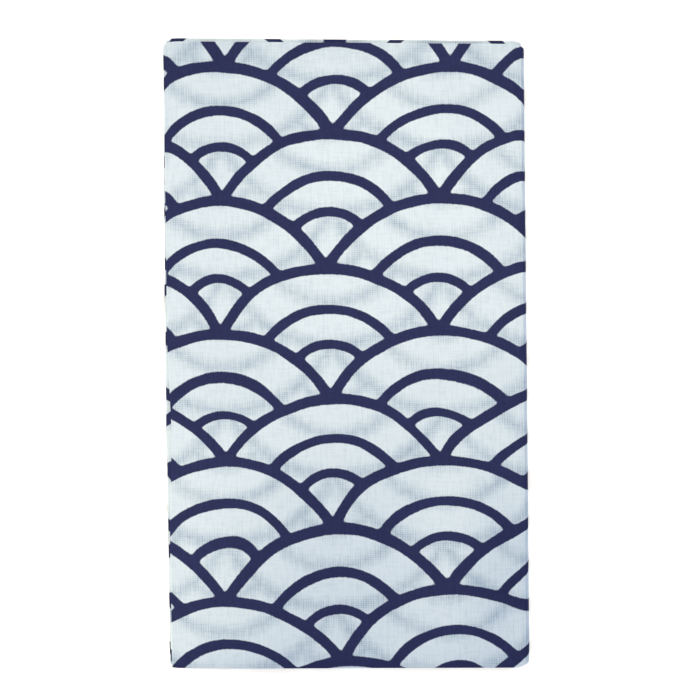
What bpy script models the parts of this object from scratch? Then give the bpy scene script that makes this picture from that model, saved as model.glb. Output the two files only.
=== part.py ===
"""Tenugui towel: one cotton cloth, folded in thirds across its length and then in half along it.

The cloth is cut flat, given its thickness, and folded point by point. The outer sheet ends up on top and
underneath, the last fold is on the right, and all six selvedges lie on the left.
"""

import math
from typing import NamedTuple

import bmesh
import bpy

# Cloth as cut, in metres
CLOTH_WIDTH = 0.345
CLOTH_LENGTH = 0.900
SHEET = 0.0010
GAP = 0.0003

# Folded pack
PACK_WIDTH = CLOTH_WIDTH / 2
PACK_LENGTH = CLOTH_LENGTH / 3
PITCH = SHEET + GAP
SHEETS = 3
CORE_HEIGHT = (SHEETS - 0.5) * PITCH
LAST_FOLD_X = PACK_WIDTH / 2 - CORE_HEIGHT - SHEET / 2

# Runs of cloth between folds, and the cloth that each turn takes up
SHORT_TURN = math.pi * PITCH / 2
LAST_TURN = math.pi * SHEETS / 2 * PITCH
THIRD = (CLOTH_LENGTH - 2 * SHORT_TURN) / 3
HALF = (CLOTH_WIDTH - LAST_TURN) / 2
LENGTH_RUNS = (THIRD, SHORT_TURN, THIRD, SHORT_TURN, THIRD)
WIDTH_RUNS = (HALF, LAST_TURN, HALF)

# Steps of the mesh in each of those runs
THIRD_STEPS = 13
SHORT_TURN_STEPS = 6
HALF_STEPS = 12
LAST_TURN_STEPS = 10
LENGTH_STEPS = (THIRD_STEPS, SHORT_TURN_STEPS, THIRD_STEPS, SHORT_TURN_STEPS, THIRD_STEPS)
WIDTH_STEPS = (HALF_STEPS, LAST_TURN_STEPS, HALF_STEPS)

# Lean of the pack: how far its foot is to the right of its head, and how far the top edge drops to the right
SIDE_LEAN = 0.0029
TOP_DROP = 0.0014

# Extra height, as a share, where the folds hold the layers open
SIDE_PUFF = 0.11
SIDE_PUFF_WIDTH = 0.045
END_PUFF = 0.06
END_PUFF_LENGTH = 0.035
WAVE = 0.012
WAVE_LENGTH = 0.110

# Colour of the print seen from afar, with cotton's dull surface
CLOTH_COLOUR = (0.34, 0.39, 0.48, 1.0)
CLOTH_ROUGHNESS = 0.92


class Selvedge(NamedTuple):
    """How far one sheet's selvedge lies inside the pack's left side, at three places along it."""

    top: float
    middle: float
    bottom: float


class Ends(NamedTuple):
    """How far the folds and cut ends of one half fall short of the pack's top and bottom."""

    top_fold: float
    bottom_fold: float
    outer_end: float
    inner_end: float


class Corner(NamedTuple):
    """How far a corner of the outline is drawn in, and over what width."""

    side: int
    end: int
    width: float
    cut: float


# Selvedges of the outer, middle and inner sheet
LOWER_SELVEDGES = (
    Selvedge(top=0.0006, middle=0.0004, bottom=0.0016),
    Selvedge(top=0.0002, middle=-0.0006, bottom=0.0007),
    Selvedge(top=0.0011, middle=-0.0002, bottom=0.0012),
)
UPPER_SELVEDGES = (
    Selvedge(top=0.0000, middle=0.0010, bottom=0.0015),
    Selvedge(top=0.0007, middle=-0.0003, bottom=0.0010),
    Selvedge(top=0.0010, middle=0.0000, bottom=0.0004),
)
LOWER_ENDS = Ends(top_fold=0.0000, bottom_fold=0.0010, outer_end=0.0006, inner_end=0.0040)
UPPER_ENDS = Ends(top_fold=0.0016, bottom_fold=0.0008, outer_end=0.0000, inner_end=0.0060)
CORNERS = (
    Corner(side=-1, end=1, width=0.0050, cut=0.0022),
    Corner(side=1, end=1, width=0.0055, cut=0.0025),
    Corner(side=1, end=-1, width=0.0080, cut=0.0034),
    Corner(side=-1, end=-1, width=0.0040, cut=0.0008),
)


def blend(low, high, share):
    """Return the value that lies at this share of the way from low to high."""
    return low + (high - low) * share


def eased(share):
    """Return a share that starts and stops gently, for finer steps at both ends of a run."""
    return (1 - math.cos(math.pi * share)) / 2


def stations(runs, steps):
    """Return the places of the mesh's lines along the cloth, measured from its first edge."""
    places = [0.0]
    for index, (run, count) in enumerate(zip(runs, steps)):
        start = sum(runs[:index])
        flat = index % 2 == 0
        for step in range(1, count + 1):
            share = step / count
            places.append(start + run * (eased(share) if flat else share))
    return places


def find_run(place, runs):
    """Return which run a place on the cloth is in, and how far along that run it is, from 0 to 1."""
    last = len(runs) - 1
    for index, run in enumerate(runs):
        if place <= run or index == last:
            return index, min(place / run, 1.0)
        place -= run


def flat_cloth():
    """Return the cut cloth as a flat slab: x across it and y along it from one corner, z its thickness."""
    across = stations(WIDTH_RUNS, WIDTH_STEPS)
    along = stations(LENGTH_RUNS, LENGTH_STEPS)
    columns = len(across) - 1
    rows = len(along) - 1
    cloth = bmesh.new()
    bmesh.ops.create_grid(cloth, x_segments=columns, y_segments=rows, size=1.0)
    for corner in cloth.verts:
        column = round((corner.co.x + 1) / 2 * columns)
        row = round((corner.co.y + 1) / 2 * rows)
        corner.co = (across[column], along[row], SHEET / 2)
    bmesh.ops.solidify(cloth, geom=cloth.faces[:], thickness=SHEET)
    return cloth


def fold_in_thirds(place, offset, upper):
    """Fold along the length.

    Returns y, the height over the outer sheet's middle, and the sheet: 0 outer, 1 middle, 2 inner.
    """
    ends = Ends(*(blend(low, high, upper) for low, high in zip(LOWER_ENDS, UPPER_ENDS)))
    turn_reach = PITCH / 2 + SHEET / 2
    top = PACK_LENGTH / 2 - ends.top_fold - turn_reach
    bottom = -PACK_LENGTH / 2 + ends.bottom_fold + turn_reach
    outer_end = -PACK_LENGTH / 2 + ends.outer_end
    inner_end = PACK_LENGTH / 2 - ends.inner_end
    run, share = find_run(place, LENGTH_RUNS)
    angle = math.pi * share
    if run == 0:
        return blend(outer_end, top, share), offset, 0.0
    if run == 1:
        radius = PITCH / 2 - offset
        return top + radius * math.sin(angle), PITCH / 2 - radius * math.cos(angle), eased(share)
    if run == 2:
        return blend(top, bottom, share), PITCH - offset, 1.0
    if run == 3:
        radius = PITCH / 2 + offset
        return bottom - radius * math.sin(angle), 1.5 * PITCH - radius * math.cos(angle), 1.0 + eased(share)
    return blend(bottom, inner_end, share), 2 * PITCH + offset, 2.0


def selvedge_inset(selvedge, y):
    """Return how far a selvedge lies inside the left side at y, on a smooth curve through its three places."""
    t = 2 * y / PACK_LENGTH
    slope = (selvedge.top - selvedge.bottom) / 2
    bow = (selvedge.top + selvedge.bottom) / 2 - selvedge.middle
    return selvedge.middle + slope * t + bow * t * t


def left_edge(sheet, upper, y):
    """Return x of the cloth's edge on the left, for a sheet number that may lie between two sheets."""
    selvedges = UPPER_SELVEDGES if upper else LOWER_SELVEDGES
    first = min(int(sheet), SHEETS - 2)
    near = selvedge_inset(selvedges[first], y)
    far = selvedge_inset(selvedges[first + 1], y)
    return -PACK_WIDTH / 2 + blend(near, far, sheet - first)


def fold_in_half(run, share, y, height, sheet):
    """Fold the three sheets round the last fold on the right; returns x and z."""
    radius = CORE_HEIGHT - height
    core_z = CORE_HEIGHT + SHEET / 2
    angle = math.pi * share
    if run == 0:
        return blend(left_edge(sheet, False, y), LAST_FOLD_X, share), core_z - radius
    if run == 1:
        return LAST_FOLD_X + radius * math.sin(angle), core_z - radius * math.cos(angle)
    return blend(LAST_FOLD_X, left_edge(sheet, True, y), share), core_z + radius


def nearness(distance, width):
    """Return 1 at no distance, falling smoothly to 0 at the given width."""
    share = max(0.0, 1.0 - max(0.0, distance) / width)
    return share * share * (3 - 2 * share)


def puffed(x, y, z):
    """Raise the layers where the folds hold them open; the underside stays flat on the ground."""
    side = SIDE_PUFF * nearness(PACK_WIDTH / 2 - x, SIDE_PUFF_WIDTH)
    end = END_PUFF * nearness(PACK_LENGTH / 2 - abs(y), END_PUFF_LENGTH)
    wave = WAVE * (1 + math.sin(2 * math.pi * (y + 0.6 * x) / WAVE_LENGTH))
    return z * (1 + side + end + wave)


def leaning(x, y):
    """Give the pack's outline its drawn-in corners, its leaning sides and its dropping top edge."""
    for corner in CORNERS:
        if corner.end * y > 0:
            pull = max(0.0, 1.0 - (PACK_WIDTH / 2 - corner.side * x) / corner.width)
            y -= corner.end * corner.cut * pull * pull * abs(y) / (PACK_LENGTH / 2)
    up = y / PACK_LENGTH
    right = x / PACK_WIDTH
    return x - SIDE_LEAN * up, y - TOP_DROP * right * (up + 0.5)


def folded(point):
    """Return where a point of the flat cloth lies in the folded pack."""
    run, share = find_run(point.x, WIDTH_RUNS)
    upper = (0.0, eased(share), 1.0)[run]
    y, height, sheet = fold_in_thirds(point.y, point.z, upper)
    x, z = fold_in_half(run, share, y, height, sheet)
    z = puffed(x, y, z)
    x, y = leaning(x, y)
    return x, y, z


def stand_on_origin(cloth):
    """Move the pack so that the middle of its bounding box is over the origin."""
    middle = [(min(v.co[i] for v in cloth.verts) + max(v.co[i] for v in cloth.verts)) / 2 for i in (0, 1)]
    bmesh.ops.translate(cloth, vec=(-middle[0], -middle[1], 0.0), verts=cloth.verts)


def cloth_material():
    """Return the dull cotton material."""
    material = bpy.data.materials.new("dyed_cotton")
    material.use_nodes = True
    shader = material.node_tree.nodes["Principled BSDF"]
    shader.inputs["Base Color"].default_value = CLOTH_COLOUR
    shader.inputs["Roughness"].default_value = CLOTH_ROUGHNESS
    shader.inputs["Metallic"].default_value = 0.0
    return material


def make_towel(collection):
    """Make the folded towel as one object in the collection."""
    cloth = flat_cloth()
    for corner in cloth.verts:
        corner.co = folded(corner.co)
    stand_on_origin(cloth)
    bmesh.ops.recalc_face_normals(cloth, faces=cloth.faces)
    mesh = bpy.data.meshes.new("towel")
    cloth.to_mesh(mesh)
    cloth.free()
    mesh.materials.append(cloth_material())
    mesh.shade_smooth()
    towel = bpy.data.objects.new("towel", mesh)
    collection.objects.link(towel)


def main():
    for old in list(bpy.data.objects):
        bpy.data.objects.remove(old, do_unlink=True)
    collection = bpy.data.collections.new("tenugui_towel")
    bpy.context.scene.collection.children.link(collection)
    make_towel(collection)


main()
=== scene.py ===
"""A folded tenugui towel: plain-weave cotton with a stencil-dyed print of overlapping wave scales.

The cloth is cut flat, given its thickness and rounded edges, and folded in thirds across its length and
then in half along it, as its solid in the frame is. The print runs on unbroken through every fold.
"""

import logging
import math
from collections.abc import Sequence
from dataclasses import dataclass, field
from enum import Enum
from typing import Any, NamedTuple

import bmesh
import bpy
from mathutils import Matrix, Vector, noise


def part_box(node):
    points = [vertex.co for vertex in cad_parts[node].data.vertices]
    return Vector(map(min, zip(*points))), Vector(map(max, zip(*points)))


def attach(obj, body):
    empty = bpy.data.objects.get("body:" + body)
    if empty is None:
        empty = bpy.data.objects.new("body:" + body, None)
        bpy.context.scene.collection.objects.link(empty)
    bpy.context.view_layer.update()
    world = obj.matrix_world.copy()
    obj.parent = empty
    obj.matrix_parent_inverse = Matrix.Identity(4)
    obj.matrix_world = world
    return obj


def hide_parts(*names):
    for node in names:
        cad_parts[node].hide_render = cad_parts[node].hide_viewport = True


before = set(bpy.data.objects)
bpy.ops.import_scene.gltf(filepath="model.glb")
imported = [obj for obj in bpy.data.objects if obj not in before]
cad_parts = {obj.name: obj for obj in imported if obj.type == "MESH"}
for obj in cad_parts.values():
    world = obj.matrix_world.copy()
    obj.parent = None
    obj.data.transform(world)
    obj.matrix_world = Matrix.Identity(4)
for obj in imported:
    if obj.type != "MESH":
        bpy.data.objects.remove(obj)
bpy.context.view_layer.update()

MM = 0.001

log = logging.getLogger("tenugui")


class Side(Enum):
    """The two halves of the pack that the last fold makes, counted upwards."""

    LOWER = 0
    UPPER = 1


class Sheet(Enum):
    """The three sheets of one half, counted inwards, as the fold functions number them."""

    OUTER = 0
    MIDDLE = 1
    INNER = 2


class Selvedge(NamedTuple):
    """How far one sheet's selvedge lies inside the pack's left side, at three places along it, in metres."""

    top: float
    middle: float
    bottom: float


class Ends(NamedTuple):
    """How far the folds and cut ends of one half fall short of the pack's top and bottom, in metres."""

    top_fold: float
    bottom_fold: float
    outer_end: float
    inner_end: float


class Corner(NamedTuple):
    """How far a corner of the outline is drawn in, and over what width, in metres."""

    side: int
    end: int
    width: float
    cut: float


class Crease(NamedTuple):
    """A soft ridge or trough on the top sheets: its ends in the pack, width and height, in metres."""

    start: tuple[float, float]
    end: tuple[float, float]
    width: float
    height: float


class Pull(NamedTuple):
    """A place on the top side where the print lies askew, how far round it and by how much, in mm."""

    right: float
    down: float
    reach: float
    shift_right: float
    shift_down: float


class Lamp(NamedTuple):
    """A lamp: its kind, its strength, its width in metres or radians, its place and the point it faces."""

    name: str
    kind: str
    strength: float
    width: float
    place: tuple[float, float, float]
    facing: tuple[float, float, float]


class Ground(NamedTuple):
    """What the cotton's look is worked out from: the place on the cloth, its weave and its uneven yarns."""

    uv: Any
    across: Any
    along: Any
    opening: Any
    slubs: Any


class FanRow(NamedTuple):
    """A place measured from one row of fans: the two nearest centres, and the way to the nearest one."""

    near: Any
    far: Any
    side: Any
    below: Any


def blend(low: float, high: float, share: float) -> float:
    """Return the value that lies at this share of the way from low to high."""
    return low + (high - low) * share


def eased(share: float) -> float:
    """Return a share that starts and stops gently."""
    return (1 - math.cos(math.pi * share)) / 2


def smooth(share: float) -> float:
    """Return a share kept between 0 and 1 and smoothed at both ends."""
    share = min(1.0, max(0.0, share))
    return share * share * (3 - 2 * share)


def nearness(distance: float, width: float) -> float:
    """Return 1 at no distance, falling smoothly to 0 at the given width."""
    return smooth(1.0 - max(0.0, distance) / width)


def linear(hex_colour: str) -> tuple[float, float, float, float]:
    """Turn an sRGB colour into the linear values that shaders take.

    Args:
        hex_colour: The colour as #RRGGBB.

    Returns:
        Linear red, green and blue, and an alpha of 1.
    """
    parts = [int(hex_colour[i : i + 2], 16) / 255 for i in (1, 3, 5)]
    red, green, blue = (c / 12.92 if c <= 0.04045 else ((c + 0.055) / 1.055) ** 2.4 for c in parts)
    return red, green, blue, 1.0


@dataclass(frozen=True)
class Cloth:
    """The cut cloth and the runs that its folds divide it into, in metres."""

    width: float = 0.345
    length: float = 0.900
    thickness: float = 0.50 * MM

    # The sheet of the solid, and the height from one sheet's middle to the next, which the folds keep to
    solid_sheet: float = 1.00 * MM
    pitch: float = 1.30 * MM

    # The last fold is pressed: its depth as a share of its height, and its turn as a share of a round one
    fold_press: float = 0.5
    pressed_turn: float = 0.771

    @property
    def short_turn(self) -> float:
        """Return the cloth that one crosswise fold takes up."""
        return math.pi * self.pitch / 2

    @property
    def last_turn(self) -> float:
        """Return the cloth that the lengthwise fold takes up, at the middle sheet."""
        return math.pi * (len(Sheet) / 2) * self.pitch * self.pressed_turn

    @property
    def third(self) -> float:
        """Return the flat length of one sheet between the crosswise folds."""
        return (self.length - 2 * self.short_turn) / 3

    @property
    def half(self) -> float:
        """Return the flat width of one half beside the lengthwise fold."""
        return (self.width - self.last_turn) / 2

    @property
    def length_runs(self) -> tuple[float, ...]:
        """Return the runs along the cloth: sheet, turn, sheet, turn, sheet."""
        return self.third, self.short_turn, self.third, self.short_turn, self.third

    @property
    def width_runs(self) -> tuple[float, ...]:
        """Return the runs across the cloth: lower half, turn, upper half."""
        return self.half, self.last_turn, self.half


@dataclass(frozen=True)
class Mesh:
    """How finely the cloth is divided."""

    third_steps: int = 88
    short_turn_steps: int = 10
    half_steps: int = 58
    last_turn_steps: int = 18

    # The cloth's rim: a line of the mesh this far inside it, and the rounding of its cut edges
    rim: float = 0.35 * MM
    rim_round: float = 0.16 * MM
    rim_segments: int = 2
    rim_angle: float = math.radians(45)


@dataclass
class FoldedTowel:
    """The towel: one cloth, folded in thirds across its length and then in half along it."""

    cloth: Cloth = field(default_factory=Cloth)
    mesh: Mesh = field(default_factory=Mesh)

    # Lean of the pack: how far its foot lies to the right of its head, and the top edge's drop to the right
    side_lean: float = 2.9 * MM
    top_drop: float = 1.4 * MM

    # Extra height, as a share, where the folds hold the layers open
    side_puff: float = 0.11
    side_puff_width: float = 45 * MM
    end_puff: float = 0.06
    end_puff_length: float = 35 * MM
    wave: float = 0.012
    wave_length: float = 110 * MM
    wave_skew: float = 0.6

    # How far the top sheet's cut end sags over the fold under it
    end_droop: float = 0.9 * MM
    end_droop_length: float = 7 * MM

    # Slack of each sheet between its neighbours
    slack: float = 0.16 * MM
    slack_length: float = 26 * MM
    slack_apart: float = 40 * MM

    lower_selvedges: tuple[Selvedge, ...] = (
        Selvedge(top=0.6 * MM, middle=0.4 * MM, bottom=1.6 * MM),
        Selvedge(top=0.2 * MM, middle=-0.6 * MM, bottom=0.7 * MM),
        Selvedge(top=1.1 * MM, middle=-0.2 * MM, bottom=1.2 * MM),
    )
    upper_selvedges: tuple[Selvedge, ...] = (
        Selvedge(top=0.0 * MM, middle=0.7 * MM, bottom=1.5 * MM),
        Selvedge(top=0.7 * MM, middle=-0.3 * MM, bottom=1.0 * MM),
        Selvedge(top=1.0 * MM, middle=0.0 * MM, bottom=0.4 * MM),
    )
    lower_ends: Ends = Ends(top_fold=0.9 * MM, bottom_fold=1.0 * MM, outer_end=0.6 * MM, inner_end=4.0 * MM)
    upper_ends: Ends = Ends(top_fold=1.6 * MM, bottom_fold=0.8 * MM, outer_end=0.0 * MM, inner_end=0.1 * MM)

    # Where the top sheet's selvedge is drawn in, so that the sheets under it show
    drawn_in: float = 1.3 * MM
    drawn_in_at: float = -40 * MM
    drawn_in_reach: float = 48 * MM

    # Unevenness of the selvedges, and how far apart in it two sheets and two halves lie
    edge_wander: float = 0.35 * MM
    edge_wander_length: float = 21 * MM
    edge_start: float = 5.0
    edge_sheet_step: float = 3.1
    edge_side_step: float = 11.0

    # The outline's corners; the ridges and troughs, each rising over a share of its length at either end
    corners: tuple[Corner, ...] = (
        Corner(side=-1, end=1, width=5.0 * MM, cut=2.2 * MM),
        Corner(side=1, end=1, width=5.5 * MM, cut=2.5 * MM),
        Corner(side=1, end=-1, width=8.0 * MM, cut=3.4 * MM),
        Corner(side=-1, end=-1, width=4.0 * MM, cut=0.8 * MM),
    )
    crease_rise: float = 0.25
    creases: tuple[Crease, ...] = (
        Crease(start=(-37 * MM, -28 * MM), end=(-43 * MM, -168 * MM), width=54 * MM, height=2.8 * MM),
        Crease(start=(33 * MM, -40 * MM), end=(24 * MM, -168 * MM), width=27 * MM, height=-0.80 * MM),
        Crease(start=(58 * MM, -30 * MM), end=(63 * MM, -168 * MM), width=25 * MM, height=0.95 * MM),
        Crease(start=(112 * MM, -82 * MM), end=(52 * MM, -182 * MM), width=46 * MM, height=-2.2 * MM),
        Crease(start=(-70 * MM, 16 * MM), end=(84 * MM, -8 * MM), width=19 * MM, height=0.55 * MM),
        Crease(start=(-14 * MM, 165 * MM), end=(-22 * MM, 66 * MM), width=21 * MM, height=-0.45 * MM),
        Crease(start=(24 * MM, 150 * MM), end=(78 * MM, 48 * MM), width=22 * MM, height=0.60 * MM),
        Crease(start=(-88 * MM, 104 * MM), end=(-34 * MM, 62 * MM), width=17 * MM, height=0.40 * MM),
        Crease(start=(-96 * MM, -300 * MM), end=(-99 * MM, 300 * MM), width=30 * MM, height=-1.6 * MM),
    )

    @property
    def pack_width(self) -> float:
        """Return the folded width."""
        return self.cloth.width / 2

    @property
    def pack_length(self) -> float:
        """Return the folded length."""
        return self.cloth.length / 3

    @property
    def core_height(self) -> float:
        """Return the height of the lengthwise fold's axis over the outer sheet's middle."""
        return (len(Sheet) - 0.5) * self.cloth.pitch

    @property
    def last_fold_x(self) -> float:
        """Return x of the lengthwise fold's axis."""
        return self.pack_width / 2 - self.cloth.fold_press * self.core_height - self.cloth.solid_sheet / 2

    def stations(self, runs: Sequence[float], steps: Sequence[int]) -> list[float]:
        """Place the mesh's lines along the cloth.

        Args:
            runs: The lengths of the runs, flat ones and turns by turns.
            steps: How many steps each run is divided into.

        Returns:
            Their distances from the cloth's first edge, with one line close to either edge for its rim.
        """
        places = [0.0, self.mesh.rim]
        for index, (run, count) in enumerate(zip(runs, steps)):
            start = sum(runs[:index])
            places += [start + run * step / count for step in range(1, count + 1)]
        places.insert(-1, places[-1] - self.mesh.rim)
        return places

    @staticmethod
    def find_run(place: float, runs: Sequence[float]) -> tuple[int, float]:
        """Find where on the cloth a place is.

        Args:
            place: The distance from the cloth's first edge.
            runs: The lengths of the runs.

        Returns:
            The run's number, and how far along it the place is, from 0 to 1.
        """
        last = len(runs) - 1
        for index, run in enumerate(runs):
            if place <= run or index == last:
                return index, max(0.0, min(place / run, 1.0))
            place -= run
        return last, 1.0

    def flat_cloth(self) -> bmesh.types.BMesh:
        """Cut the cloth: a flat slab with rounded edges, x across it and y along it from one corner.

        Returns:
            The slab, with its print laid out in the UV map "cloth", in metres.
        """
        steps = self.mesh
        along_steps = (steps.third_steps, steps.short_turn_steps) * 2 + (steps.third_steps,)
        across_steps = (steps.half_steps, steps.last_turn_steps, steps.half_steps)
        across = self.stations(self.cloth.width_runs, across_steps)
        along = self.stations(self.cloth.length_runs, along_steps)
        columns = len(across) - 1
        rows = len(along) - 1
        slab = bmesh.new()
        bmesh.ops.create_grid(slab, x_segments=columns, y_segments=rows, size=1.0)
        for point in slab.verts:
            column = round((point.co.x + 1) / 2 * columns)
            row = round((point.co.y + 1) / 2 * rows)
            point.co = (across[column], along[row], self.cloth.thickness / 2)
        bmesh.ops.solidify(slab, geom=slab.faces[:], thickness=self.cloth.thickness)
        sharp = [edge for edge in slab.edges if self.is_rim(edge)]
        bmesh.ops.bevel(
            slab,
            geom=sharp,
            offset=self.mesh.rim_round,
            offset_type="OFFSET",
            segments=self.mesh.rim_segments,
            profile=0.5,
            affect="EDGES",
            material=-1,
        )
        layer = slab.loops.layers.uv.new("cloth")
        for face in slab.faces:
            for loop in face.loops:
                loop[layer].uv = (loop.vert.co.x, loop.vert.co.y)
        return slab

    def is_rim(self, edge: bmesh.types.BMEdge) -> bool:
        """Return whether an edge of the flat slab runs between a flat face and the cut side."""
        return len(edge.link_faces) == 2 and edge.calc_face_angle() > self.mesh.rim_angle

    def fold_in_thirds(self, place: float, offset: float, upper: float) -> tuple[float, float, float]:
        """Fold along the length.

        Args:
            place: The distance along the cloth.
            offset: The distance from the sheet's middle.
            upper: 0 on the lower half, 1 on the upper half, between them in the last fold.

        Returns:
            y, the height over the outer sheet's middle, and the sheet: 0 outer, 1 middle, 2 inner.
        """
        pitch = self.cloth.pitch
        ends = Ends(*(blend(low, high, upper) for low, high in zip(self.lower_ends, self.upper_ends)))
        reach = pitch / 2 + self.cloth.solid_sheet / 2
        top = self.pack_length / 2 - ends.top_fold - reach
        bottom = -self.pack_length / 2 + ends.bottom_fold + reach
        run, share = self.find_run(place, self.cloth.length_runs)
        angle = math.pi * share
        if run == 0:
            end = -self.pack_length / 2 + ends.outer_end
            y = blend(end, top, share)
            droop = self.end_droop * nearness(y - end, self.end_droop_length) ** 2 * upper
            return y, offset + droop, Sheet.OUTER.value
        if run == 1:
            radius = pitch / 2 - offset
            return top + radius * math.sin(angle), pitch / 2 - radius * math.cos(angle), eased(share)
        if run == 2:
            return blend(top, bottom, share), pitch - offset, Sheet.MIDDLE.value
        if run == 3:
            radius = pitch / 2 + offset
            height = 1.5 * pitch - radius * math.cos(angle)
            return bottom - radius * math.sin(angle), height, Sheet.MIDDLE.value + eased(share)
        end = self.pack_length / 2 - ends.inner_end
        return blend(bottom, end, share), 2 * pitch + offset, Sheet.INNER.value

    def selvedge_inset(self, selvedge: Selvedge, y: float) -> float:
        """Find how far a selvedge lies inside the pack's left side.

        Args:
            selvedge: Its distances at the top, the middle and the bottom.
            y: The place along the pack.

        Returns:
            The distance at y, on a smooth curve through those three.
        """
        t = 2 * y / self.pack_length
        slope = (selvedge.top - selvedge.bottom) / 2
        bow = (selvedge.top + selvedge.bottom) / 2 - selvedge.middle
        return selvedge.middle + slope * t + bow * t * t

    def left_edge(self, sheet: float, side: Side, y: float) -> float:
        """Find the cloth's edge on the left.

        Args:
            sheet: The sheet's number, which may lie between two sheets in a fold.
            side: The half of the pack.
            y: The place along the pack.

        Returns:
            x of the selvedge there.
        """
        selvedges = self.upper_selvedges if side is Side.UPPER else self.lower_selvedges
        first = min(int(sheet), Sheet.MIDDLE.value)
        near = self.selvedge_inset(selvedges[first], y)
        far = self.selvedge_inset(selvedges[first + 1], y)
        inset = blend(near, far, sheet - first)
        if side is Side.UPPER:
            drawn = nearness(abs(y - self.drawn_in_at), self.drawn_in_reach)
            inset += self.drawn_in * drawn * max(0.0, 1.0 - sheet)
        start = self.edge_start + self.edge_side_step * side.value
        place = Vector((y / self.edge_wander_length, self.edge_sheet_step * sheet, start))
        inset += self.edge_wander * noise.noise(place)
        return -self.pack_width / 2 + inset

    def fold_in_half(
        self, run: int, share: float, y: float, height: float, sheet: float
    ) -> tuple[float, float]:
        """Fold the three sheets round the lengthwise fold.

        Args:
            run: The run across the cloth: 0 lower half, 1 turn, 2 upper half.
            share: How far along that run the point is.
            y: The place along the pack.
            height: The height over the outer sheet's middle.
            sheet: The sheet's number.

        Returns:
            x and z in the pack.
        """
        radius = self.core_height - height
        core_z = self.core_height + self.cloth.thickness / 2
        angle = math.pi * share
        fold_x = self.last_fold_x
        if run == 0:
            return blend(self.left_edge(sheet, Side.LOWER, y), fold_x, share), core_z - radius
        if run == 1:
            x = fold_x + self.cloth.fold_press * radius * math.sin(angle)
            return x, core_z - radius * math.cos(angle)
        return blend(fold_x, self.left_edge(sheet, Side.UPPER, y), share), core_z + radius

    def slack_at(self, x: float, y: float, sheet: float, upper: float) -> float:
        """Return how far a sheet lies off its even place, as loose cloth does between its neighbours."""
        place = Vector((x, y, self.slack_apart * (sheet + len(Sheet) * upper))) / self.slack_length
        return self.slack * noise.noise(place)

    def crease_height(self, x: float, y: float) -> float:
        """Add up the listed ridges and troughs at a place.

        Args:
            x: The place across the pack.
            y: The place along it.

        Returns:
            The height that they give the top sheets there.
        """
        total = 0.0
        here = Vector((x, y))
        for crease in self.creases:
            start = Vector(crease.start)
            run = Vector(crease.end) - start
            share = min(1.0, max(0.0, (here - start).dot(run) / run.length_squared))
            away = (here - start - run * share).length
            ends = smooth(share / self.crease_rise) * smooth((1 - share) / self.crease_rise)
            total += crease.height * ends * nearness(away, crease.width)
        return total

    def puffed(self, x: float, y: float, z: float) -> float:
        """Raise the layers where the folds hold them open; the underside stays on the ground.

        Args:
            x: The place across the pack.
            y: The place along it.
            z: The height of the flat layers.

        Returns:
            The raised height.
        """
        side = self.side_puff * nearness(self.pack_width / 2 - x, self.side_puff_width)
        end = self.end_puff * nearness(self.pack_length / 2 - abs(y), self.end_puff_length)
        wave = self.wave * (1 + math.sin(2 * math.pi * (y + self.wave_skew * x) / self.wave_length))
        return z * (1 + side + end + wave)

    def leaning(self, x: float, y: float) -> tuple[float, float]:
        """Give the pack's outline its drawn-in corners, its leaning sides and its dropping top edge.

        Args:
            x: The place across the square pack.
            y: The place along it.

        Returns:
            x and y in the leaning pack.
        """
        for corner in self.corners:
            if corner.end * y > 0:
                pull = max(0.0, 1.0 - (self.pack_width / 2 - corner.side * x) / corner.width)
                y -= corner.end * corner.cut * pull * pull * abs(y) / (self.pack_length / 2)
        up = y / self.pack_length
        right = x / self.pack_width
        return x - self.side_lean * up, y - self.top_drop * right * (up + 0.5)

    def folded(self, point: Vector) -> Vector:
        """Fold one point.

        Args:
            point: A point of the flat cloth.

        Returns:
            Where it lies in the folded pack.
        """
        run, share = self.find_run(point.x, self.cloth.width_runs)
        upper = (0.0, eased(share), 1.0)[run]
        y, height, sheet = self.fold_in_thirds(point.y, point.z, upper)
        x, z = self.fold_in_half(run, share, y, height, sheet)
        top = smooth(z / (2 * self.core_height))
        z += (self.slack_at(x, y, sheet, upper) + self.crease_height(x, y)) * top
        z = self.puffed(x, y, z)
        x, y = self.leaning(x, y)
        return Vector((x, y, z))

    def build(self) -> bpy.types.Object:
        """Cut, fold and place the towel.

        Returns:
            The towel's object.
        """
        slab = self.flat_cloth()
        for point in slab.verts:
            point.co = self.folded(point.co)
        low = Vector(min(point.co[i] for point in slab.verts) for i in range(3))
        high = Vector(max(point.co[i] for point in slab.verts) for i in range(3))
        solid_low, solid_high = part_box("towel")
        shift = ((solid_low + solid_high) - (low + high)) / 2
        shift.z = solid_low.z - low.z
        bmesh.ops.translate(slab, vec=shift, verts=slab.verts)
        bmesh.ops.recalc_face_normals(slab, faces=slab.faces)
        data = bpy.data.meshes.new("folded_towel")
        slab.to_mesh(data)
        slab.free()
        data.shade_smooth()
        towel = bpy.data.objects.new("folded_towel", data)
        bpy.context.scene.collection.objects.link(towel)
        return towel


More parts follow.
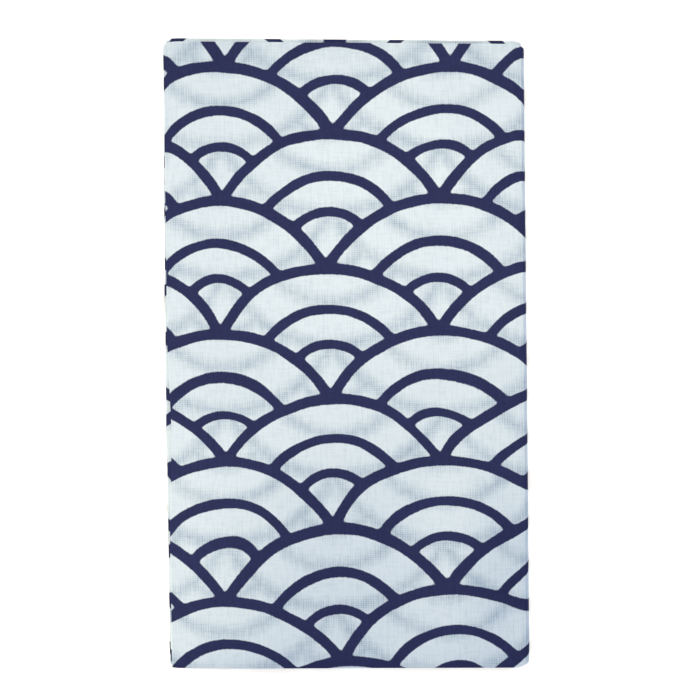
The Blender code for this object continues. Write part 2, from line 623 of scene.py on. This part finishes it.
class Graph:
    """A material's node tree, with one way to add a node."""

    def __init__(self, name: str) -> None:
        """Start a material of this name with its shader and output."""
        self.material = bpy.data.materials.new(name)
        self.material.use_nodes = True
        self.tree = self.material.node_tree
        self.shader = self.tree.nodes["Principled BSDF"]

    def add(self, kind: str, inputs: dict[Any, Any] | None = None, **settings: Any) -> bpy.types.Node:
        """Add a node with its settings and links.

        Args:
            kind: The node's type, such as ShaderNodeMath.
            inputs: What each input takes: a socket to link, or a value to set.
            settings: The node's own properties.

        Returns:
            The node.
        """
        node = self.tree.nodes.new(kind)
        for key, value in settings.items():
            setattr(node, key, value)
        for key, value in (inputs or {}).items():
            if isinstance(value, bpy.types.NodeSocket):
                self.tree.links.new(value, node.inputs[key])
            else:
                node.inputs[key].default_value = value
        return node

    def calc(self, operation: str, *values: Any) -> bpy.types.NodeSocket:
        """Return the result of one step of arithmetic on sockets and numbers."""
        return self.add("ShaderNodeMath", dict(enumerate(values)), operation=operation).outputs[0]

    def plus(self, base: Any, value: Any, share: float) -> bpy.types.NodeSocket:
        """Return the base with this share of a value added."""
        return self.calc("ADD", base, self.calc("MULTIPLY", value, share))

    def between(self, value: Any, low: float, high: float) -> bpy.types.NodeSocket:
        """Return how far a value has come from low to high, from 0 to 1, with eased ends."""
        inputs = {"Value": value, "From Min": low, "From Max": high}
        return self.add("ShaderNodeMapRange", inputs, interpolation_type="SMOOTHSTEP").outputs["Result"]


@dataclass(frozen=True)
class WaveScalePrint:
    """The print's sizes in metres: rows of fans, each drawn over the row above it, with three rings each."""

    column_pitch: float = 106.1 * MM
    row_pitch: float = 31.56 * MM
    outer_radius: float = 59.8 * MM
    middle_radius: float = 37.3 * MM
    inner_radius: float = 20.9 * MM
    outer_line: float = 5.2 * MM
    middle_line: float = 4.75 * MM
    inner_line: float = 4.55 * MM
    fillet: float = 2.4 * MM

    # How far the middle and the inner ring's centres lie above the fan's
    middle_rise: float = 2.7 * MM
    inner_rise: float = 1.9 * MM

    # The middle of the top side, from the far selvedge and from the first cut end, and the fan near it
    middle_across: float = 86.7 * MM
    middle_along: float = 150.0 * MM
    fan_right: float = -9.1 * MM
    fan_down: float = -45.8 * MM

    # How the hand-laid print leans and drops, as shares of the way from the middle, and bows, at bow_reach
    lean: float = 0.0034
    drop: float = -0.0271
    bow_reach: float = 143.7 * MM
    bow_limit: float = 1.15
    right_down_down: float = 4.1 * MM
    right_right_down: float = 1.5 * MM
    right_right_right: float = 3.3 * MM
    down_down_down: float = -0.7 * MM
    down_right_down: float = -3.2 * MM
    down_right_right: float = -1.9 * MM

    # Where the cloth crept under the stencil: right and down, reach, shift right and down, in mm
    pulls: tuple[Pull, ...] = (
        Pull(-80, -138, 24, -1.5, -0.5),
        Pull(-78, -90, 52, 1.8, 0.5),
        Pull(-42, -106, 44, -0.9, 1.6),
        Pull(-33, -52, 46, -2.3, 1.0),
        Pull(2, -122, 34, 1.3, 0.5),
        Pull(36, -142, 44, 3.2, -0.4),
        Pull(76, -130, 26, 0.2, 1.1),
        Pull(74, -84, 46, -2.8, -1.1),
        Pull(62, -33, 42, -1.9, 1.3),
        Pull(10, -34, 38, -1.3, 1.4),
        Pull(-38, 26, 30, -2.0, 1.7),
        Pull(-58, 60, 52, 0.6, -2.9),
        Pull(-82, 76, 28, -2.2, -0.8),
        Pull(-66, 104, 32, -1.8, 1.3),
        Pull(-30, 131, 44, -0.9, 1.6),
        Pull(4, 60, 40, -2.6, -2.2),
        Pull(27, 112, 36, -2.8, -0.4),
        Pull(42, 142, 26, 1.6, -0.3),
        Pull(49, 27, 34, -2.9, 3.7),
        Pull(50, 44, 28, -1.4, -1.3),
        Pull(-82, 26, 22, 1.2, 0.0),
        Pull(-48, 84, 22, 1.2, -1.2),
        Pull(56, -84, 20, 1.0, 0.0),
        Pull(-38, -28, 18, 0.0, -0.8),
        Pull(-38, -140, 22, -1.0, 0.5),
        Pull(26, -76, 34, -1.2, 0.0),
        Pull(6, 122, 26, -2.0, 0.4),
        Pull(-78, -32, 30, 1.4, -0.4),
        Pull(78, 143, 26, -2.0, -0.4),
        Pull(-26, -102, 26, -1.0, -1.2),
        Pull(-64, 28, 26, 0.5, 2.4),
        Pull(-58, 143, 28, 0.0, 1.0),
        Pull(78, 40, 34, -0.5, 1.1),
    )

    # Creep of the stencil on the last third of the cloth, as shares of the way along it
    last_third: float = 600 * MM
    late_right: float = -0.0027
    late_down: float = 0.0284

    # Unsteadiness of the stencil's cut lines
    wander: float = 0.9 * MM
    wander_length: float = 34 * MM
    swell: float = 0.35 * MM
    swell_length: float = 12 * MM


@dataclass(frozen=True)
class StencilDyedCotton:
    """Plain-weave cotton, bleached and dyed through a stencil, so that its navy runs right through it.

    It gives the eye a dull, cool white that greys where the print of the next sheet touches it from below,
    a matt navy that is uneven from patch to patch, slightly furred lines, the grain of its yarns, and
    painted shade along the first crosswise fold.
    """

    name: str = "plain_weave_cotton_stencil_dyed"
    white: str = "#E2ECEE"
    shaded_white: str = "#8AA0B2"
    navy: str = "#2C3159"
    deep_navy: str = "#22264A"
    sizes: WaveScalePrint = field(default_factory=WaveScalePrint)
    roughness: float = 0.88
    specular: float = 0.25

    # Threads are about 0.45 mm apart; drawn coarser, 1.0 to 1.2 mm, as finer ones don't show at this size
    warp_spacing: float = 1.2 * MM
    weft_spacing: float = 1.0 * MM
    warp_opening: float = 0.6
    weft_opening: float = 0.4
    weave_relief: float = 0.12 * MM
    relief_strength: float = 0.55

    # Slubs, the uneven thickness of single yarns: their length, their width in threads and their strength
    slub_length: float = 6 * MM
    slub_threads: float = 1.2
    warp_slubs: float = 0.9
    weft_slubs: float = 0.7
    slub_relief: float = 0.10 * MM

    # Dye creeps a thread or so along the yarns past the stencil's edge
    dye_edge: float = 0.28 * MM
    dye_creep: float = 0.35 * MM
    dye_creep_length: float = 1.4 * MM

    # The navy takes unevenly, in patches and in single yarns
    navy_depth: float = 0.35
    navy_patch: float = 22 * MM
    navy_patches: float = 0.6
    navy_slubs: float = 0.9

    # The white greys in the openings of the weave and in single yarns
    white_openings: float = 0.15
    white_slubs: float = 0.30

    # The sheet beneath shows through the white, softly, and doesn't lie quite square under the top one
    show_through: float = 0.62
    show_openings: float = 0.8
    show_yarns: float = 0.53
    show_slubs: float = 0.35
    show_softness: float = 4.2 * MM
    show_patch: float = 24 * MM
    beneath_left: float = 3.2 * MM
    beneath_up: float = 1.7 * MM

    # Painted shade: the white is darkened within this reach of the first crosswise fold, at the pack's top
    # edge
    painted_fold_shade: float = 0.11
    painted_fold_shade_reach: float = 18 * MM

    def build(self, cloth: Cloth) -> bpy.types.Material:
        """Build the material.

        Args:
            cloth: The cloth whose UV map "cloth" the print follows.

        Returns:
            The material.
        """
        graph = Graph(self.name)
        uv = graph.add("ShaderNodeUVMap", uv_map="cloth").outputs["UV"]
        parts = graph.add("ShaderNodeSeparateXYZ", {"Vector": uv})
        across = graph.calc("SUBTRACT", cloth.width, parts.outputs["X"])
        along = parts.outputs["Y"]
        warp, weft, opening = self.weave(graph, across, along)
        ground = Ground(uv, across, along, opening, self.slubs(graph, uv))
        pale = self.pale(graph, ground, cloth)
        colour = self.mixed(graph, self.dyed(graph, ground), pale, self.dark(graph, ground))

        relief = graph.calc("MULTIPLY", graph.calc("ADD", warp, weft), self.weave_relief)
        relief = graph.plus(relief, ground.slubs, self.slub_relief)
        inputs = {"Strength": self.relief_strength, "Distance": 1.0, "Height": relief}
        bump = graph.add("ShaderNodeBump", inputs)
        graph.tree.links.new(colour, graph.shader.inputs["Base Color"])
        graph.tree.links.new(bump.outputs["Normal"], graph.shader.inputs["Normal"])
        graph.shader.inputs["Roughness"].default_value = self.roughness
        graph.shader.inputs["Specular IOR Level"].default_value = self.specular
        return graph.material

    def dyed(self, graph: Graph, ground: Ground) -> bpy.types.NodeSocket:
        """Find where the cloth is dyed.

        Args:
            graph: The material's nodes.
            ground: The cotton's ground.

        Returns:
            1 in the navy and 0 in the white.
        """
        creep = self.noise(graph, ground.uv, self.dye_creep_length, detail=1.0)
        line = self.wave_scales(graph, ground.across, ground.along)
        return self.stepped(graph, graph.plus(line, creep, self.dye_creep), self.dye_edge)

    def ghost(self, graph: Graph, ground: Ground, cloth: Cloth) -> bpy.types.NodeSocket:
        """Let the print of the sheet beneath show, mirrored about the first crosswise fold.

        Args:
            graph: The material's nodes.
            ground: The cotton's ground.
            cloth: The cloth and its folds.

        Returns:
            How strongly it shows through the white.
        """
        mirror = 2 * cloth.third + cloth.short_turn + self.beneath_up
        across = graph.calc("ADD", ground.across, self.beneath_left)
        beneath = self.wave_scales(graph, across, graph.calc("SUBTRACT", mirror, ground.along))
        ghost = self.stepped(graph, beneath, self.show_softness)
        clear = graph.plus(self.show_yarns, ground.opening, self.show_openings)
        ghost = graph.calc("MULTIPLY", ghost, clear)
        touching = graph.calc("ADD", self.noise(graph, ground.uv, self.show_patch), 1.0)
        grain = graph.plus(1.0, ground.slubs, self.show_slubs)
        ghost = graph.calc("MULTIPLY", graph.calc("MULTIPLY", ghost, touching), grain)
        return graph.calc("MULTIPLY", ghost, self.show_through)

    def pale(self, graph: Graph, ground: Ground, cloth: Cloth) -> bpy.types.NodeSocket:
        """Mix the white, with painted shade along the first crosswise fold.

        Args:
            graph: The material's nodes.
            ground: The cotton's ground.
            cloth: The cloth and its folds.

        Returns:
            The colour of the undyed cloth.
        """
        tint = self.ghost(graph, ground, cloth)
        tint = graph.plus(tint, ground.opening, self.white_openings)
        tint = graph.plus(tint, ground.slubs, self.white_slubs)
        # Painted shade: the white darkens towards the first crosswise fold
        from_fold = graph.calc("ABSOLUTE", graph.calc("SUBTRACT", ground.along, cloth.third))
        painted_shade_near_fold = graph.between(from_fold, self.painted_fold_shade_reach, 0.0)
        tint = graph.plus(tint, painted_shade_near_fold, self.painted_fold_shade)
        return self.mixed(graph, tint, linear(self.white), linear(self.shaded_white))

    def dark(self, graph: Graph, ground: Ground) -> bpy.types.NodeSocket:
        """Mix the navy.

        Args:
            graph: The material's nodes.
            ground: The cotton's ground.

        Returns:
            The colour of the dyed cloth.
        """
        patch = self.noise(graph, ground.uv, self.navy_patch, detail=3.0)
        depth = graph.calc("MULTIPLY", patch, self.navy_patches)
        depth = graph.plus(depth, ground.slubs, self.navy_slubs)
        depth = graph.calc("ADD", depth, self.navy_depth)
        return self.mixed(graph, depth, linear(self.navy), linear(self.deep_navy))

    def stepped(self, graph: Graph, distance: Any, softness: float) -> bpy.types.NodeSocket:
        """Return 1 inside a line and 0 outside it, with an edge of this softness."""
        return graph.between(distance, softness, -softness)

    def mixed(self, graph: Graph, share: Any, first: Any, second: Any) -> bpy.types.NodeSocket:
        """Return a colour that lies at this share of the way from the first to the second."""
        inputs = {"Factor": share, 6: first, 7: second}
        return graph.add("ShaderNodeMix", inputs, data_type="RGBA", clamp_factor=True).outputs[2]

    def noise(self, graph: Graph, place: Any, length: float, detail: float = 2.0) -> bpy.types.NodeSocket:
        """Make noise round 0, about half a unit either way.

        Args:
            graph: The material's nodes.
            place: The place that it is read at.
            length: The length of its blotches.
            detail: How many finer layers it has.

        Returns:
            The noise.
        """
        inputs = {"Vector": place, "Scale": 1 / length, "Detail": detail, "Roughness": 0.5}
        value = graph.add("ShaderNodeTexNoise", inputs, noise_dimensions="2D").outputs["Fac"]
        return graph.calc("SUBTRACT", value, 0.5)

    def slubs(self, graph: Graph, uv: Any) -> bpy.types.NodeSocket:
        """Make the slubs of both yarns, long along each yarn and about a thread wide.

        Args:
            graph: The material's nodes.
            uv: The place on the cloth.

        Returns:
            How much thicker the yarns are than usual there, round 0.
        """
        total = None
        warp = (1 / self.warp_spacing, 1 / self.slub_length, 1.0)
        weft = (1 / self.slub_length, 1 / self.weft_spacing, 1.0)
        for scale, share in ((warp, self.warp_slubs), (weft, self.weft_slubs)):
            place = graph.add("ShaderNodeMapping", {"Vector": uv, "Scale": scale}).outputs["Vector"]
            streak = self.noise(graph, place, self.slub_threads, detail=1.0)
            streak = graph.calc("MULTIPLY", streak, share)
            total = streak if total is None else graph.calc("ADD", total, streak)
        return total

    def weave(self, graph: Graph, across: Any, along: Any) -> tuple[Any, Any, Any]:
        """Weave warp and weft, one over and one under.

        Args:
            graph: The material's nodes.
            across: The place across the cloth.
            along: The place along it.

        Returns:
            The height of the warp, that of the weft and the openings between them, each from 0 to 1.
        """
        side = graph.calc("SINE", graph.calc("MULTIPLY", across, math.pi / self.warp_spacing))
        length = graph.calc("SINE", graph.calc("MULTIPLY", along, math.pi / self.weft_spacing))
        over = graph.calc("ADD", graph.calc("MULTIPLY", graph.calc("MULTIPLY", side, length), 0.5), 0.5)
        under = graph.calc("SUBTRACT", 1.0, over)
        side = graph.calc("ABSOLUTE", side)
        length = graph.calc("ABSOLUTE", length)
        warp = graph.calc("MULTIPLY", side, over)
        weft = graph.calc("MULTIPLY", length, under)
        opening = None
        for yarn, share in ((side, self.warp_opening), (length, self.weft_opening)):
            gap = graph.calc("SUBTRACT", 1.0, yarn)
            gap = graph.calc("MULTIPLY", graph.calc("MULTIPLY", gap, gap), share)
            opening = gap if opening is None else graph.calc("ADD", opening, gap)
        return warp, weft, opening

    def print_place(self, graph: Graph, across: Any, along: Any) -> tuple[Any, Any]:
        """Find a place on the cloth in the print's own frame.

        Args:
            graph: The material's nodes.
            across: The place across the cloth, from left to right as it lies on top.
            along: The place along the cloth, upwards as it lies on top.

        Returns:
            The distances to the right of and below the centre of one fan, in metres.
        """
        sizes = self.sizes
        right = graph.calc("SUBTRACT", across, sizes.middle_across)
        down = graph.calc("SUBTRACT", sizes.middle_along, along)
        shares = []
        for way in (right, down):
            share = graph.calc("DIVIDE", way, sizes.bow_reach)
            inputs = {"Value": share, "Min": -sizes.bow_limit, "Max": sizes.bow_limit}
            shares.append(graph.add("ShaderNodeClamp", inputs).outputs[0])
        pairs = ((1, 1), (0, 1), (0, 0))
        squares = [graph.calc("MULTIPLY", shares[one], shares[other]) for one, other in pairs]
        place = graph.add("ShaderNodeCombineXYZ", {"X": across, "Y": along}).outputs[0]
        wander = graph.add(
            "ShaderNodeTexNoise",
            {"Vector": place, "Scale": 1 / sizes.wander_length, "Detail": 1.0},
            noise_dimensions="2D",
        )
        drift = graph.add("ShaderNodeSeparateColor", {"Color": wander.outputs["Color"]})
        bows = (
            (sizes.right_down_down, sizes.right_right_down, sizes.right_right_right),
            (sizes.down_down_down, sizes.down_right_down, sizes.down_right_right),
        )
        here = graph.add("ShaderNodeCombineXYZ", {"X": right, "Y": down}).outputs[0]
        pulled = graph.add("ShaderNodeSeparateXYZ", {"Vector": self.pulled(graph, here)})
        late = graph.calc("MAXIMUM", graph.calc("SUBTRACT", along, sizes.last_third), 0.0)
        lates = (sizes.late_right, sizes.late_down)
        starts = (sizes.fan_right, sizes.fan_down)
        skews = (graph.calc("MULTIPLY", down, sizes.lean), graph.calc("MULTIPLY", right, sizes.drop))
        found = []
        for index, value in enumerate((right, down)):
            value = graph.calc("SUBTRACT", value, starts[index])
            value = graph.calc("SUBTRACT", value, skews[index])
            for square, bow in zip(squares, bows[index]):
                value = graph.calc("SUBTRACT", value, graph.calc("MULTIPLY", square, bow))
            value = graph.calc("SUBTRACT", value, pulled.outputs[index])
            value = graph.plus(value, late, lates[index])
            shift = graph.calc("SUBTRACT", drift.outputs[index], 0.5)
            found.append(graph.plus(value, shift, 2 * sizes.wander))
        return found[0], found[1]

    def pulled(self, graph: Graph, here: Any) -> bpy.types.NodeSocket:
        """Add up the listed pulls at a place on the top side.

        Args:
            graph: The material's nodes.
            here: The place, to the right of and below the middle of the top side, in metres.

        Returns:
            How far they move the print there, to the right and down, in metres.
        """
        total = None
        for pull in self.sizes.pulls:
            centre = (pull.right * MM, pull.down * MM, 0.0)
            inputs = {0: here, 1: centre}
            away = graph.add("ShaderNodeVectorMath", inputs, operation="DISTANCE").outputs["Value"]
            share = graph.between(away, pull.reach * MM, 0.0)
            shift = (pull.shift_right * MM, pull.shift_down * MM, 0.0)
            inputs = {0: shift, "Scale": share}
            move = graph.add("ShaderNodeVectorMath", inputs, operation="SCALE").outputs["Vector"]
            if total is None:
                total = move
            else:
                inputs = {0: total, 1: move}
                total = graph.add("ShaderNodeVectorMath", inputs, operation="ADD").outputs["Vector"]
        return total

    def wave_scales(self, graph: Graph, across: Any, along: Any) -> bpy.types.NodeSocket:
        """Draw the wave scales.

        Args:
            graph: The material's nodes.
            across: The place across the cloth, from left to right as it lies on top.
            along: The place along the cloth, upwards as it lies on top.

        Returns:
            The distance to the nearest dyed line, negative inside it, in metres.
        """
        sizes = self.sizes
        right, down = self.print_place(graph, across, along)
        reach = graph.calc("ADD", down, sizes.outer_radius)
        row = graph.calc("FLOOR", graph.calc("DIVIDE", reach, sizes.row_pitch))
        front = self.fan_row(graph, right, down, graph.calc("ADD", row, 1.0))
        own = self.fan_row(graph, right, down, row)
        back = self.fan_row(graph, right, down, graph.calc("SUBTRACT", row, 1.0))

        def joined(*distances: Any) -> bpy.types.NodeSocket:
            """Return the nearest of some distances, filled out where lines meet."""
            nearest = distances[0]
            for distance in distances[1:]:
                nearest = graph.calc("SMOOTH_MIN", nearest, distance, sizes.fillet)
            return nearest

        in_front = joined(self.rim_line(graph, front.near), self.rim_line(graph, front.far))
        inside = joined(self.rings(graph, own), in_front)
        own_rims = joined(self.rim_line(graph, own.near), self.rim_line(graph, own.far))
        outside = joined(self.rings(graph, back), own_rims, in_front)
        beyond = graph.calc("GREATER_THAN", own.near, sizes.outer_radius)
        inputs = {"Factor": beyond, 2: inside, 3: outside}
        chosen = graph.add("ShaderNodeMix", inputs, data_type="FLOAT").outputs[0]
        place = graph.add("ShaderNodeCombineXYZ", {"X": across, "Y": along}).outputs[0]
        return graph.plus(chosen, self.noise(graph, place, sizes.swell_length), 2 * sizes.swell)

    def fan_row(self, graph: Graph, right: Any, down: Any, row: Any) -> FanRow:
        """Measure a place from the fans of one row.

        Args:
            graph: The material's nodes.
            right: The place to the right of the print's first fan.
            down: The place below it.
            row: The row's number.

        Returns:
            The distances to the nearest and the next fan, and the way to the nearest one.
        """
        pitch = self.sizes.column_pitch
        odd = graph.calc("MULTIPLY", graph.calc("FLOORED_MODULO", row, 2.0), 0.5)
        turn = graph.calc("SUBTRACT", graph.calc("DIVIDE", right, pitch), odd)
        side = graph.calc("ABSOLUTE", graph.calc("SUBTRACT", turn, graph.calc("ROUND", turn)))
        side = graph.calc("MULTIPLY", side, pitch)
        below = graph.calc("SUBTRACT", down, graph.calc("MULTIPLY", row, self.sizes.row_pitch))
        near = self.distance(graph, side, below)
        far = self.distance(graph, graph.calc("SUBTRACT", pitch, side), below)
        return FanRow(near, far, side, below)

    def distance(self, graph: Graph, side: Any, below: Any) -> bpy.types.NodeSocket:
        """Return the length of the way that these two distances give."""
        squares = graph.calc("ADD", graph.calc("MULTIPLY", side, side), graph.calc("MULTIPLY", below, below))
        return graph.calc("SQRT", squares)

    def rim_line(self, graph: Graph, distance: Any) -> bpy.types.NodeSocket:
        """Return the distance to a fan's outer line, for a distance from its centre."""
        away = graph.calc("ABSOLUTE", graph.calc("SUBTRACT", distance, self.sizes.outer_radius))
        return graph.calc("SUBTRACT", away, self.sizes.outer_line / 2)

    def rings(self, graph: Graph, fans: FanRow) -> bpy.types.NodeSocket:
        """Find the nearest of a fan's three rings.

        Args:
            graph: The material's nodes.
            fans: The place's distances from the fans of one row.

        Returns:
            The distance to that ring's line, negative inside it, in metres.
        """
        sizes = self.sizes
        nearest = self.rim_line(graph, fans.near)
        for radius, line, rise in (
            (sizes.middle_radius, sizes.middle_line, sizes.middle_rise),
            (sizes.inner_radius, sizes.inner_line, sizes.inner_rise),
        ):
            distance = self.distance(graph, fans.side, graph.calc("ADD", fans.below, rise))
            away = graph.calc("ABSOLUTE", graph.calc("SUBTRACT", distance, radius))
            nearest = graph.calc("MINIMUM", nearest, graph.calc("SUBTRACT", away, line / 2))
        return nearest


@dataclass(frozen=True)
class PaleMattBoard:
    """Painted board: it gives the eye an even, pale ground with a soft shadow and no gloss."""

    name: str = "pale_matt_board"
    colour: str = "#FAFAFA"
    roughness: float = 0.9

    # A slight glow keeps the board pale where the lamps don't reach
    glow_colour: str = "#FFF4DC"
    glow_strength: float = 0.62

    def build(self) -> bpy.types.Material:
        """Build the material."""
        graph = Graph(self.name)
        inputs = graph.shader.inputs
        inputs["Base Color"].default_value = linear(self.colour)
        inputs["Roughness"].default_value = self.roughness
        inputs["Emission Color"].default_value = linear(self.glow_colour)
        inputs["Emission Strength"].default_value = self.glow_strength
        return graph.material


@dataclass
class Studio:
    """The pale floor, the soft light and the camera straight above."""

    board: PaleMattBoard = field(default_factory=PaleMattBoard)
    floor_reach: float = 3.0
    camera_height: float = 1.30
    sensor_width: float = 36.0
    view_centre: tuple[float, float] = (1.7 * MM, 1.4 * MM)
    frame_width: float = 0.3353

    # A bluish sky; a low sun on the left, a lamp over the top half, and one low at the lower left
    sky_colour: str = "#C4D6F8"
    sky_strength: float = 0.675
    lamp_colour: tuple[float, float, float] = (1.0, 0.87, 0.61)
    lamps: tuple[Lamp, ...] = (
        Lamp(
            name="soft_key", kind="SUN", strength=1.9, width=math.radians(30),
            place=(-1.30, 0.55, 0.85), facing=(0.0, 0.0, 0.0),
        ),
        Lamp(
            name="soft_top", kind="AREA", strength=0.225, width=0.16,
            place=(0.015, 0.08, 0.24), facing=(0.015, 0.08, 0.0),
        ),
        Lamp(
            name="soft_side", kind="AREA", strength=0.080, width=0.12,
            place=(-0.22, -0.11, 0.10), facing=(0.0, -0.04, 0.0),
        ),
    )

    def build(self) -> None:
        """Make the floor, the lights and the camera."""
        self.make_floor()
        self.make_lights()
        self.make_camera()

    def make_floor(self) -> None:
        """Lay a pale plain floor under the towel."""
        plane = bmesh.new()
        bmesh.ops.create_grid(plane, x_segments=1, y_segments=1, size=self.floor_reach)
        data = bpy.data.meshes.new("studio_floor")
        plane.to_mesh(data)
        plane.free()
        floor = bpy.data.objects.new("studio_floor", data)
        bpy.context.scene.collection.objects.link(floor)
        data.materials.append(self.board.build())

    def make_lights(self) -> None:
        """Light the towel softly from the left and from over its top half, under a bluish sky."""
        world = bpy.data.worlds.new("studio_light")
        world.use_nodes = True
        sky = world.node_tree.nodes["Background"]
        sky.inputs["Color"].default_value = linear(self.sky_colour)
        sky.inputs["Strength"].default_value = self.sky_strength
        bpy.context.scene.world = world
        for lamp in self.lamps:
            light = bpy.data.lights.new(lamp.name, lamp.kind)
            light.color = self.lamp_colour
            light.energy = lamp.strength
            if lamp.kind == "SUN":
                light.angle = lamp.width
            else:
                light.size = lamp.width
            holder = bpy.data.objects.new(lamp.name, light)
            holder.location = lamp.place
            holder.visible_camera = False
            way = Vector(lamp.facing) - Vector(lamp.place)
            holder.rotation_euler = way.to_track_quat("-Z", "Y").to_euler()
            bpy.context.scene.collection.objects.link(holder)

    def make_camera(self) -> None:
        """Look straight down on the towel."""
        data = bpy.data.cameras.new("camera")
        data.sensor_width = self.sensor_width
        data.lens = data.sensor_width * self.camera_height / self.frame_width
        camera = bpy.data.objects.new("camera", data)
        camera.location = (self.view_centre[0], self.view_centre[1], self.camera_height)
        bpy.context.scene.collection.objects.link(camera)
        bpy.context.scene.camera = camera
        bpy.context.scene.view_settings.view_transform = "Standard"


def main() -> None:
    """Build the towel, dress it and set the studio round it."""
    logging.basicConfig(level=logging.INFO, format="%(name)s: %(message)s")
    Studio().build()
    maker = FoldedTowel()
    towel = maker.build()
    towel.data.materials.append(StencilDyedCotton().build(maker.cloth))
    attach(towel, "root")
    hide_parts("towel")
    log.info("%s: %d faces", towel.name, len(towel.data.polygons))


if __name__ == "__main__":
    main()
